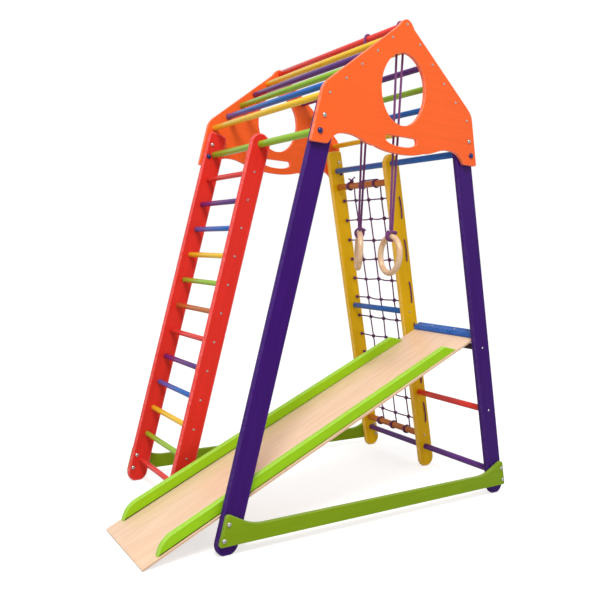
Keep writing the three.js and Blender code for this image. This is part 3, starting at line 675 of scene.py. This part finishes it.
ROOF_COLOURS = ("yellow", "purple", "green", "blue", "yellow")
RUNG_COLOURS = ("red", "purple", "blue", "yellow", "green", "amber") * 2
bar("ridge_bar", "red")
for slope in ("left", "right"):
    for step, colour in enumerate(ROOF_COLOURS, 1):
        bar(f"roof_bar_{slope}_{step}", colour)
for step, colour in enumerate(RUNG_COLOURS[:-1] + ("red",), 1):
    bar(f"ladder_rung_{step:02d}", colour)
LONG_BARS = {
    "ladder_top_bar": "green",
    "net_side_top_bar": "blue",
    "net_side_bottom_bar": "purple",
    "net_upper_bar": "amber",
    "net_middle_bar": "blue",
    "net_lower_bar": "amber",
    "slide_bay_tie_bar": "red",
    "slide_hook_bar": "maroon",
    "slide_rest_bar": "maroon",
}
for name, colour in LONG_BARS.items():
    bar(name, colour)

# ---- Posts and rails --------------------------------------------------------------------------
# Solid boards 78 by 20 mm with generously rounded edges, rounded feet that stand a little flat,
# and round or eased tops. The front posts are violet, the ladder's rails red, the net's yellow.

POST_HALF_WIDTH = 39
POST_THICKNESS = 20
POST_EASING = 6
FOOT_ARC_Z = POST_HALF_WIDTH - 2.5
POST_TOP_Z = TOP - 312
POST_TOP_ROUND = 16
RAIL_DOME_Z = upper_z


def post_outline(side, domed):
    lean_sin, lean_cos = math.sin(LEAN), math.cos(LEAN)
    half = POST_HALF_WIDTH
    foot = math.acos(FOOT_ARC_Z / half)
    down = -math.pi / 2
    points = arc(post_x(FOOT_ARC_Z), FOOT_ARC_Z, half, LEAN, down + foot, 16)
    points += arc(post_x(FOOT_ARC_Z), FOOT_ARC_Z, half, down - foot, LEAN - math.pi, 16)
    if domed:
        points += arc(post_x(RAIL_DOME_Z), RAIL_DOME_Z, half, LEAN + math.pi, LEAN, 32)
    else:
        inset = half - POST_TOP_ROUND
        z = POST_TOP_Z - POST_TOP_ROUND
        for sign, start in ((-1, math.pi), (1, math.pi / 2)):
            x, up = post_x(z) + sign * inset * lean_cos, z + sign * inset * lean_sin
            first = LEAN + start
            points += arc(x, up, POST_TOP_ROUND, first, first - math.pi / 2, 10)
    return [(side * x, z) for x, z in points]


violet = paint("violet", (58, 12, 106), grain=0.7)
POSTS = {  # CAD node: side, domed top, paint, slot
    "front_left_post": (-1, False, violet, "paint_violet"),
    "front_right_post": (1, False, violet, "paint_violet"),
    "ladder_outer_rail": (-1, False, board_paints["red"], "paint_red"),
    "ladder_inner_rail": (-1, True, board_paints["red"], "paint_red"),
    "net_outer_rail": (1, False, board_paints["yellow"], "paint_yellow"),
    "net_inner_rail": (1, True, board_paints["yellow"], "paint_yellow"),
}
for name, (side, domed, material, slot) in POSTS.items():
    mesh = board(f"{name}_board", [post_outline(side, domed)], POST_THICKNESS, POST_EASING)
    made = piece(f"{name}_board", mesh, material, "frame", [name])
    stand(made, (MIDDLE_X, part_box(name)[0].y, 0), (-side * math.sin(LEAN), 0, math.cos(LEAN)))

# ---- Foot braces ------------------------------------------------------------------------------
# Olive green boards across the feet, front and back, with a raised end at each post that slopes
# down to the long straight middle.

BRACE = {"bottom": 35, "top": 86, "end": 131, "inset": 6, "round": 8, "thickness": 15}


def brace_outline():
    def edge(z):
        return post_x(z) + POST_HALF_WIDTH / math.cos(LEAN) - BRACE["inset"]

    bottom, top, end = BRACE["bottom"], BRACE["top"], BRACE["end"]
    slant = BRACE["round"] * math.tan(LEAN)
    end_x = edge(end)
    half = [(0, bottom), (edge(bottom) - BRACE["round"], bottom)]
    half += bend(half[-1], (edge(bottom), bottom), (edge(bottom) - slant, bottom + BRACE["round"]))
    half.append((end_x + slant, end - BRACE["round"]))
    half += bend(half[-1], (end_x, end), (end_x - 14, end - 3))
    half.append((end_x - 60, end - 27))
    half += bend(half[-1], (end_x - 92, top), (end_x - 134, top))
    half.append((0, top))
    return mirrored(half)


olive = paint("olive", (130, 160, 12))
for name in ("front_foot_brace", "back_foot_brace"):
    mesh = board(f"{name}_board", [brace_outline()], BRACE["thickness"], 1.6)
    made = piece(f"{name}_board", mesh, olive, "frame", [name])
    stand(made, (MIDDLE_X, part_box(name)[0].y, 0))

# ---- Slide ------------------------------------------------------------------------------------
# A deck of lacquered birch plywood, two painted side rails screwed on it, a batten across its top
# end to hold by, and a batten under it with a groove that hooks over the bar below, whose paint holds
# painted shade.

deck_points = [vertex.co.copy() for vertex in frame["nodes"]["slide_deck"].data.vertices]
foot = min(deck_points, key=lambda point: (round(point.z, 5), point.y))
tip = max((p for p in deck_points if abs(p.y - foot.y) < MM), key=lambda point: point.x)
SLOPE = (tip - foot).normalized()
DECK_LENGTH = (tip - foot).length / MM
DECK_WIDTH = (max(p.y for p in deck_points) - foot.y) / MM
DECK_THICKNESS = 8
slope_axes = Matrix((SLOPE, (0, 1, 0), SLOPE.cross((0, 1, 0)))).transposed()
on_slide = Matrix.Translation(foot) @ slope_axes.to_4x4()


def on_the_slide(made, x=0.0, y=0.0, z=0.0):
    """Puts a piece at a place up the slope, across it and square off it, in millimetres."""
    made.matrix_world = on_slide @ Matrix.Translation((x * MM, y * MM, z * MM))
    return made


birch_finish = finish(
    "lacquered_birch_plywood",
    TIMBER,
    {
        "Light": linear(252, 216, 184),
        "Dark": linear(238, 196, 160),
        "Rings": 30.0,
        "Flecks": 0.18,
        "Ply": 0.55,
    },
    bump=0.12,
    depth=0.0004,
    Coat_Weight=0.3,
    Coat_Roughness=0.2,
)
deck_outline = [(0, 0), (DECK_LENGTH, 0), (DECK_LENGTH, DECK_THICKNESS), (0, DECK_THICKNESS)]
mesh = board("slide_deck_plywood", [deck_outline], DECK_WIDTH, 0.9)
on_the_slide(piece("slide_deck_plywood", mesh, birch_finish, "slide", ["slide_deck"]))

GAP = 0.3
SIDE_RAIL = {"start": 53, "short": 130, "height": 38, "thickness": 20, "inset": 4}


def side_rail_outline():
    base = DECK_THICKNESS + GAP
    top = base + SIDE_RAIL["height"]
    start, end = SIDE_RAIL["start"], DECK_LENGTH - SIDE_RAIL["short"]
    outline = [(start, base), (end, base), (end - 46, top - 3)]
    outline += bend(outline[-1], (end - 50, top), (end - 60, top))
    outline.append((start + 58, top))
    outline += bend(outline[-1], (start + 20, top - 6), (start, base), 16)
    return outline[:-1]


lime = paint("lime", (156, 208, 24))
far_inset = DECK_WIDTH - SIDE_RAIL["inset"] - SIDE_RAIL["thickness"]
for hand, across in (("near", SIDE_RAIL["inset"]), ("far", far_inset)):
    mesh = board(f"slide_{hand}_side_rail", [side_rail_outline()], SIDE_RAIL["thickness"], 4)
    rail = piece(f"slide_{hand}_side_rail", mesh, lime, "slide", [f"slide_rail_{hand}"])
    on_the_slide(rail, y=across)

HOOK_BATTEN = {"width": 38, "height": 16, "bevel": 9}
base = DECK_THICKNESS + GAP
batten_start, batten_top = DECK_LENGTH - HOOK_BATTEN["width"], base + HOOK_BATTEN["height"]
batten_outline = [
    (batten_start, base),
    (DECK_LENGTH, base),
    (DECK_LENGTH, batten_top),
    (batten_start + HOOK_BATTEN["bevel"], batten_top),
    (batten_start, batten_top - HOOK_BATTEN["bevel"]),
]
mesh = board("slide_top_batten", [batten_outline], DECK_WIDTH, 1.5)
blue = board_paints["blue"]
on_the_slide(piece("slide_top_batten", mesh, blue, "slide", ["slide_hook_batten"]))

HOOK_DROP = 36
BAR_HOLE = 12.8
SADDLE = {"width": 52, "past_bar": 25, "end_gap": 80}
saddle_start, hook_x = DECK_LENGTH - SADDLE["width"], DECK_LENGTH - SADDLE["past_bar"]
saddle_outline = [(saddle_start, -HOOK_DROP)]
saddle_outline += arc(hook_x, -HOOK_DROP, BAR_HOLE, math.pi, 0, 24)
saddle_outline += [(DECK_LENGTH, -HOOK_DROP), (DECK_LENGTH, -GAP), (saddle_start, -GAP)]
saddle_length = DECK_WIDTH - 2 * SADDLE["end_gap"]
mesh = board("slide_saddle", [saddle_outline], saddle_length, 1.0)
saddle = piece("slide_saddle", mesh, birch_finish, "slide", ["slide_saddle_batten"])
on_the_slide(saddle, y=SADDLE["end_gap"])

# ---- Screws, bolts and caps -------------------------------------------------------------------
# Plated steel: cross-head screws in the bars' ends and on the slide, and domed bolts with a
# six-sided socket through the gables and the braces. Navy plastic caps cover the post bolts.


def plating(tree, given):
    """Bright plating with fine scratches and a little dulling."""
    place = node(tree, "TexCoord").outputs["Object"]
    scratch = node(tree, "TexNoise", Vector=place, Scale=2600.0, Detail=2.0, Distortion=2.0).outputs[0]
    dull = node(tree, "TexNoise", Vector=place, Scale=160.0, Detail=4.0).outputs[0]
    value = maths(tree, "MULTIPLY_ADD", dull, 0.35, 0.78)
    colour = node(tree, "HueSaturation", Value=value, Color=given["Colour"]).outputs[0]
    roughness = maths(tree, "MULTIPLY_ADD", dull, 0.25, 0.12)
    return {"Colour": colour, "Roughness": roughness, "Height": scratch}


PLATING = effect_group("plating", {"Colour": (0.7, 0.7, 0.7, 1.0)}, plating)
CHROME = {"Colour": linear(214, 212, 208)}
steel = finish("plated_steel", PLATING, CHROME, bump=0.1, depth=0.0001, Metallic=1.0)


def cross(angle):
    """How far a cross recess reaches at an angle."""
    off = abs((angle + math.pi / 4) % (math.pi / 2) - math.pi / 4)
    return 1.0 if off < 0.2 else 0.36


def six_sided(angle):
    off = (angle + math.pi / 6) % (math.pi / 3) - math.pi / 6
    return math.cos(math.pi / 6) / math.cos(off)


SCREW = [(0, 0.1), (4.1, 0.1), (4.2, 0.8), (3.5, 1.9), (2.7, 2.3, 1), (2.2, 0.9, 1), (0, 0.9)]
BOLT = [(0, 0.1), (7.4, 0.1), (7.6, 1.2), (6.4, 3.4), (4.6, 4.6), (3.2, 5.0, 1), (3.0, 2.4, 1), (0, 2.4)]


def fasteners(name, profile, mouth, places, body):
    """One piece of like fasteners, from each one's place and the way that its head faces."""
    head = revolved("head", profile, 24, mouth)
    points, faces = [], []
    chance = random.Random(name)
    for place, facing in places:
        turn = Vector(facing).to_track_quat("Z", "Y").to_matrix().to_4x4()
        spin = Matrix.Rotation(chance.uniform(0, math.pi), 4, "Z")
        matrix = Matrix.Translation(place) @ turn @ spin
        first = len(points)
        points += [matrix @ vertex.co for vertex in head.vertices]
        faces += [tuple(first + i for i in face.vertices) for face in head.polygons]
    mesh = bpy.data.meshes.new(name)
    mesh.from_pydata(points, [], faces)
    mesh.polygons.foreach_set("use_smooth", [True] * len(faces))
    mesh.set_sharp_from_angle(angle=math.radians(40))
    made = piece(name, mesh, steel, body)
    bpy.data.meshes.remove(head)
    return made


def bar_middle(name):
    low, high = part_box(name)
    return (low.x + high.x) / 2, (low.z + high.z) / 2


DEPTH = (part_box("gable_back")[1].y - FRONT_Y) / MM
TOWARDS_FRONT, TOWARDS_BACK = (0, -1, 0), (0, 1, 0)
BOLTED = [(319.7, 1340.9), (602, 103), (616, 55)]  # gables and foot braces to the posts
inner_faces = {"front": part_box("front_right_post")[1].y, "back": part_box("net_outer_rail")[0].y}
roof_bars = ["ridge_bar"] + [f"roof_bar_{slope}_{i}" for slope in ("left", "right") for i in range(1, 6)]
ENDS = (("front", 0, TOWARDS_FRONT, TOWARDS_BACK), ("back", DEPTH, TOWARDS_BACK, TOWARDS_FRONT))
for end, y, facing, inwards in ENDS:
    face_y = FRONT_Y + y * MM
    inner_y = (inner_faces[end] - FRONT_Y) / MM
    places = [(Vector((x, face_y, z)), facing) for x, z in map(bar_middle, roof_bars)]
    fasteners(f"{end}_gable_screws", SCREW, cross, places, "frame")
    places = [(spot(side * x, y, z), facing) for side in (-1, 1) for x, z in BOLTED]
    places += [(spot(side * x, inner_y, z), inwards) for side in (-1, 1) for x, z in BOLTED]
    fasteners(f"{end}_frame_bolts", BOLT, six_sided, places, "frame")


def screw_places(heights, side, y):
    return [spot(side * post_x(z), y, z) for z in heights]


rungs = [bar_middle(f"ladder_rung_{i:02d}")[1] / MM for i in range(1, 13)]
inner_near, inner_far = (edge.y / MM - FRONT_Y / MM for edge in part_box("net_inner_rail"))
outer_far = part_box("net_outer_rail")[1].y / MM - FRONT_Y / MM
front_post_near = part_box("front_right_post")[0].y / MM - FRONT_Y / MM
net_bars = [bar_middle(f"net_{level}_bar")[1] / MM for level in ("upper", "middle", "lower")]
bay_bars = [bar_middle(f"slide_{use}_bar")[1] / MM for use in ("bay_tie", "hook")]
rest_bar = bar_middle("slide_rest_bar")[1] / MM
rail_screws = {
    "ladder_inner_rail_screws": (screw_places(rungs, -1, inner_near), TOWARDS_FRONT),
    "ladder_outer_rail_screws": (screw_places(rungs[:-1], -1, outer_far), TOWARDS_BACK),
    "net_inner_rail_screws": (screw_places(net_bars, 1, inner_near), TOWARDS_FRONT),
    "net_outer_rail_screws": (screw_places(net_bars, 1, outer_far), TOWARDS_BACK),
    "front_right_post_screws": (screw_places(bay_bars, 1, front_post_near), TOWARDS_FRONT),
    "front_left_post_screws": (screw_places([rest_bar], -1, front_post_near), TOWARDS_FRONT),
}
for name, (places, facing) in rail_screws.items():
    fasteners(name, SCREW, cross, [(place, facing) for place in places], "frame")

off_slide = (on_slide.to_3x3() @ Vector((0, 0, 1))).normalized()
batten_middle = batten_start + HOOK_BATTEN["width"] / 2 + 3
batten_screws = [(batten_middle, DECK_WIDTH * share, batten_top) for share in (0.34, 0.72)]
places = [(on_slide @ (Vector(place) * MM), off_slide) for place in batten_screws]
fasteners("slide_batten_screws", SCREW, cross, places, "slide")
under_deck = [
    (SIDE_RAIL["start"] + 90 + i * (DECK_LENGTH - 420) / 4, across + SIDE_RAIL["thickness"] / 2, 0)
    for i in range(5)
    for across in (SIDE_RAIL["inset"], far_inset)
]
places = [(on_slide @ (Vector(place) * MM), -off_slide) for place in under_deck]
fasteners("slide_rail_screws", SCREW, cross, places, "slide")


def moulding(tree, given):
    """Moulded plastic: almost even, with a faint orange peel and a little handling shine."""
    place = node(tree, "TexCoord").outputs["Object"]
    peel = node(tree, "TexNoise", Vector=place, Scale=900.0, Detail=2.0).outputs[0]
    shine = node(tree, "TexNoise", Vector=place, Scale=200.0, Detail=3.0).outputs[0]
    value = maths(tree, "MULTIPLY_ADD", shine, 0.3, 0.85)
    colour = node(tree, "HueSaturation", Value=value, Color=given["Colour"]).outputs[0]
    return {"Colour": colour, "Roughness": maths(tree, "MULTIPLY_ADD", shine, 0.2, 0.15), "Height": peel}


MOULDING = effect_group("moulding", {"Colour": (0.01, 0.02, 0.2, 1.0)}, moulding)
NAVY = {"Colour": linear(22, 36, 104)}
navy_plastic = finish("navy_cap_plastic", MOULDING, NAVY, bump=0.1, depth=0.0002)
CAP = {"radius": 9.5, "height": 8, "shank": 4}
for end in ("front", "back"):
    for hand in ("left", "right"):
        name = f"post_bolt_{end}_{hand}"
        low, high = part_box(name)
        face = (high.y - low.y) / 2 / MM - CAP["height"]
        dome = [
            (CAP["radius"] * math.cos(a), face + CAP["height"] * math.sin(a))
            for a in (math.pi / 2 * i / 8 for i in range(9))
        ]
        profile = [(r, -z) for r, z in dome[::-1]] + [(CAP["shank"], -face), (CAP["shank"], face)] + dome
        mesh = revolved(f"{name}_caps", profile, 32)
        caps = piece(f"{name}_caps", mesh, navy_plastic, "frame", [name])
        caps.matrix_world = Matrix.Translation((low + high) / 2) @ Matrix.Rotation(-math.pi / 2, 4, "X")

# ---- Climbing net -----------------------------------------------------------------------------
# One 6 mm rope is laced to and fro through both yellow rails, with a knot where it leaves them.
# Three more run down between the amber bars, wound round each bar and knotted at every crossing.

NET_ROPE = 6
NET_ROWS = 12
NET_COLUMNS = 3
TOP_ROW_Z, BOTTOM_ROW_Z = TOP - 532, 200
NET_OUT = 17  # the rows' distance outside the rails' centre lines
net_rope_finish = finish(
    "net_rope",
    BRAID,
    {"Colour": linear(112, 40, 112), "Stitch": 0.005, "Strands": 6.0},
    bump=0.7,
    depth=0.0006,
    Sheen_Weight=0.2,
    Sheen_Roughness=0.5,
)
sway = random.Random("net")
row_heights = [TOP_ROW_Z + (BOTTOM_ROW_Z - TOP_ROW_Z) * i / (NET_ROWS - 1) for i in range(NET_ROWS)]
outer_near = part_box("net_outer_rail")[0].y / MM - FRONT_Y / MM
net_width = outer_near - inner_far
column_ys = [inner_far + net_width * i / (NET_COLUMNS + 1) for i in range(1, NET_COLUMNS + 1)]
crossings = {
    (row, column): sway.uniform(-3.5, 3.5) for row in range(NET_ROWS) for column in range(NET_COLUMNS)
}


def on_net(y, z, out=NET_OUT):
    return spot(post_x(z) + out, y, z)


def row_points(row):
    """A row from the near side to the far one."""
    z = row_heights[row]
    points = [on_net(inner_near, z), on_net(inner_far, z)]
    for column, y in enumerate(column_ys):
        dip = crossings[row, column]
        points.append(on_net(y, z + dip, NET_OUT + 1.2))
        if column < NET_COLUMNS - 1:
            points.append(on_net(y + (column_ys[1] - y) / 2 if column == 0 else y + 44, z + dip / 2 - 1.5))
    return points + [on_net(outer_near, z), on_net(outer_far, z)]


lace_near, lace_far = inner_near - NET_ROPE / 2 - GAP, outer_far + NET_ROPE / 2 + GAP
lace = [on_net(lace_far + 9, row_heights[0] + 3)]
for row in range(NET_ROWS):
    towards_near = row % 2 == 0
    points = row_points(row)
    lace += points[::-1] if towards_near else points
    if row < NET_ROWS - 1:
        y = lace_near if towards_near else lace_far
        upper, lower = row_heights[row], row_heights[row + 1]
        lace += [on_net(y, upper - 6), on_net(y, (upper + lower) / 2, NET_OUT + 2), on_net(y, lower + 6)]
lace.append(on_net(lace_far + 9, row_heights[-1] - 3))


WOUND_PITCH = 6.6  # a turn's advance along the bar: the rope's width and a little


def wound(bar_name, y, rising):
    """The end of a rope that runs up or down to a bar and is wound round it."""
    x, z = bar_middle(bar_name)
    low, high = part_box(bar_name)
    around = (high.z - low.z) / 2 + (NET_ROPE / 2 + GAP) * MM
    way = 1 if rising else -1
    turns = [2 * math.pi * 1.6 * i / 28 for i in range(29)]
    points = []
    for a in turns:
        on_bar = FRONT_Y + (y + WOUND_PITCH * a / (2 * math.pi)) * MM
        points.append(Vector((x + around * math.cos(a), on_bar, z + way * around * math.sin(a))))
    return points


ropes_down = []
for column, y in enumerate(column_ys):
    points = wound("net_lower_bar", y, rising=False)[::-1]
    for row in reversed(range(NET_ROWS)):
        z = row_heights[row]
        points.append(on_net(y + sway.uniform(-2.0, 2.0), z + crossings[row, column], NET_OUT - 1.0))
    points += wound("net_upper_bar", y, rising=True)
    ropes_down.append(points)


def knot_at(centre, axis, radius=6.4, length=11.0, turns=1.9):
    """A short coil of rope round a crossing, drawn tight."""
    turn = Vector(axis).to_track_quat("X", "Z").to_matrix()
    count = 16
    points = []
    for i in range(count + 1):
        share = i / count
        a = 2 * math.pi * turns * share
        far = radius * (0.55 + 0.45 * math.sin(math.pi * share))
        local = Vector(((share - 0.5) * length, far * math.cos(a), far * math.sin(a)))
        points.append(centre + turn @ local * MM)
    return points


DOWN_THE_NET = Vector((-math.sin(LEAN), 0, math.cos(LEAN)))
knots = []
for (row, column), dip in crossings.items():
    centre = on_net(column_ys[column], row_heights[row] + dip, NET_OUT)
    slant = sway.uniform(-0.5, 0.5)
    along_row = (row + column) % 2
    axis = Vector((0, 1, slant)) if along_row else DOWN_THE_NET + Vector((0, slant, 0))
    knots.append(knot_at(centre, axis))
for z in row_heights:
    knots.append(knot_at(on_net(outer_near - 5.5, z), (0, 1, 0.2), 5.0, 8.0, 2.2))
    knots.append(knot_at(on_net(inner_far + 5.5, z), (0, 1, -0.2), 5.0, 8.0, 2.2))
knots.append(knot_at(on_net(lace_far + 4, row_heights[0] + 1), (0, 1, 0.3), 6.2, 9.0, 2.4))
knots.append(knot_at(on_net(lace_far + 4, row_heights[-1] - 1), (0, 1, -0.3), 6.2, 9.0, 2.4))

upper_x_row, upper_z_row = bar_middle("net_upper_bar")
on_top = (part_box("net_upper_bar")[1].z - upper_z_row) / MM + NET_ROPE / 2 + GAP


def over_upper_bar(across, y, rise):
    return Vector((upper_x_row + across * MM, FRONT_Y + y * MM, upper_z_row + (on_top + rise) * MM))


last_y, first_y = column_ys[-1], column_ys[0]
tail_places = [
    [(6, last_y - 4, -2), (2, last_y + 2, 9), (-4, last_y + 16, 16)],
    [(4, last_y + 6, -1), (0, last_y - 4, 10), (5, last_y - 17, 22)],
    [(0, first_y + 16, 0.2), (2, first_y + 50, 0.8), (-1, first_y + 92, 0.2)],
]
tie_tails = [[over_upper_bar(*place) for place in tail] for tail in tail_places]
knots.append(knot_at(over_upper_bar(2, last_y, 5), (0, 1, 0.5), 6.4, 10.0, 2.3))
lines = [smooth_line(points, 5 * MM) for points in (lace, *ropes_down, *tie_tails)]
lines += [smooth_line(points, 1.6 * MM) for points in knots]
mesh = tubes("climbing_net_rope", lines, NET_ROPE / 2 * MM, 10)
piece("climbing_net_rope", mesh, net_rope_finish, "frame", ["climbing_net"])

# ---- Room -------------------------------------------------------------------------------------
# A pale floor under a pale even sky, with one large soft lamp high at the front left and a weaker
# one to the right. None of it belongs to the frame.

FLOOR_REACH = 40
corners = [(x, y, -0.0005) for x, y in ((-1, -1), (1, -1), (1, 1), (-1, 1))]
mesh = bpy.data.meshes.new("floor")
mesh.from_pydata([(x * FLOOR_REACH, y * FLOOR_REACH, z) for x, y, z in corners], [], [(0, 1, 2, 3)])
floor = bpy.data.objects.new("floor", mesh)
bpy.context.scene.collection.objects.link(floor)
floor_paint = bpy.data.materials.new("floor")
floor_paint.use_nodes = True
tree = floor_paint.node_tree
principled = tree.nodes["Principled BSDF"]
place = node(tree, "TexCoord").outputs["Object"]
grit = node(tree, "TexNoise", Vector=place, Scale=60.0, Detail=3.0).outputs[0]
tree.links.new(maths(tree, "MULTIPLY_ADD", grit, 0.1, 0.75), principled.inputs["Roughness"])
principled.inputs["Base Color"].default_value = linear(205, 205, 205)
principled.inputs["Specular IOR Level"].default_value = 0.1
principled.inputs["Emission Color"].default_value = linear(255, 255, 255)
seen = node(tree, "LightPath").outputs["Is Camera Ray"]
glow = maths(tree, "MULTIPLY", seen, 0.62)  # what the camera sees of it is as pale as the sky
tree.links.new(glow, principled.inputs["Emission Strength"])
floor.data.materials.append(floor_paint)

world = bpy.data.worlds.new("sky")
bpy.context.scene.world = world
world.use_nodes = True
sky = world.node_tree.nodes["Background"]
sky.inputs["Color"].default_value = linear(255, 255, 255)
seen = node(world.node_tree, "LightPath").outputs["Is Camera Ray"]
strength = maths(world.node_tree, "MULTIPLY_ADD", seen, 0.31, 0.7)
world.node_tree.links.new(strength, sky.inputs["Strength"])


def soft_lamp(name, place, target, size, power):
    lamp = bpy.data.objects.new(name, bpy.data.lights.new(name, "AREA"))
    lamp.data.size = size
    lamp.data.energy = power
    lamp.location = place
    lamp.rotation_euler = (target - Vector(place)).to_track_quat("-Z", "Y").to_euler()
    bpy.context.scene.collection.objects.link(lamp)


middle_of_frame = Vector((0, 0, 0.8))
soft_lamp("key_lamp", (-1.8, -2.6, 4.4), middle_of_frame, size=1.3, power=135)
soft_lamp("fill_lamp", (3.8, -2.4, 2.6), middle_of_frame, size=2.6, power=6)
bpy.context.scene.view_settings.view_transform = "Standard"
